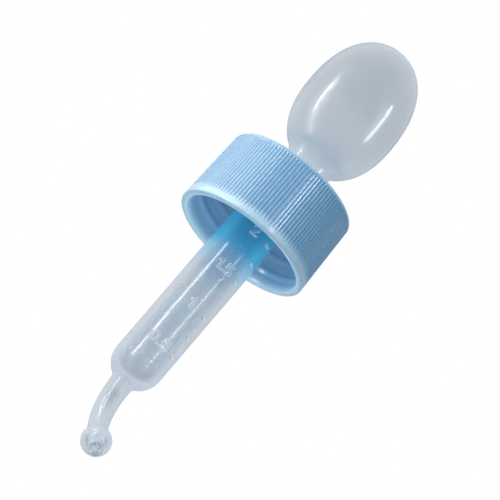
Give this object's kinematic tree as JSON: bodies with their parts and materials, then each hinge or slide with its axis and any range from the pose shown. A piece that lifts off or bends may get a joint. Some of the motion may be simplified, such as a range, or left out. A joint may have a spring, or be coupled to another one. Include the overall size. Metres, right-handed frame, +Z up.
{
  "type": "medicine dropper with screw cap",
  "caption": "Squeeze-bulb dropper with a ribbed screw cap, a graduated translucent barrel and a bent tube tip ending in a ball.",
  "frame": {"origin": "on the barrel's axis, in the plane of the cap's open rim", "axes": "+Z up the barrel towards the squeeze bulb; -Y faces the side with the graduation numerals; +X to that side's right. The bent tip leans towards +X and -Y."},
  "size_m": [0.0274, 0.0274, 0.0988],
  "materials": {
    "clear_polyethylene": "translucent moulded polyethylene, smooth with a soft haze",
    "blue_polypropylene": "sky-blue moulded polypropylene, satin, slightly translucent",
    "washer_foam": "matt white foamed polyethylene"
  },
  "bodies": {
    "dropper": {"graduated_barrel": "clear_polyethylene", "sealing_washer": "washer_foam"},
    "cap": {"screw_cap": "blue_polypropylene"},
    "bulb": {"squeeze_bulb": "clear_polyethylene"}
  },
  "joints": [
    {"name": "cap_spin", "type": "hinge", "parent": "dropper", "child": "cap", "pos_m": [0, 0, 0.015], "axis": [0, 0, 1], "continuous": true},
    {"name": "bulb_squeeze", "type": "slide", "parent": "dropper", "child": "bulb", "axis": [0, 1, 0], "range_m": [0, 0.012], "stiffness_N_per_m": 900, "deforming": ["squeeze_bulb"]}
  ]
}
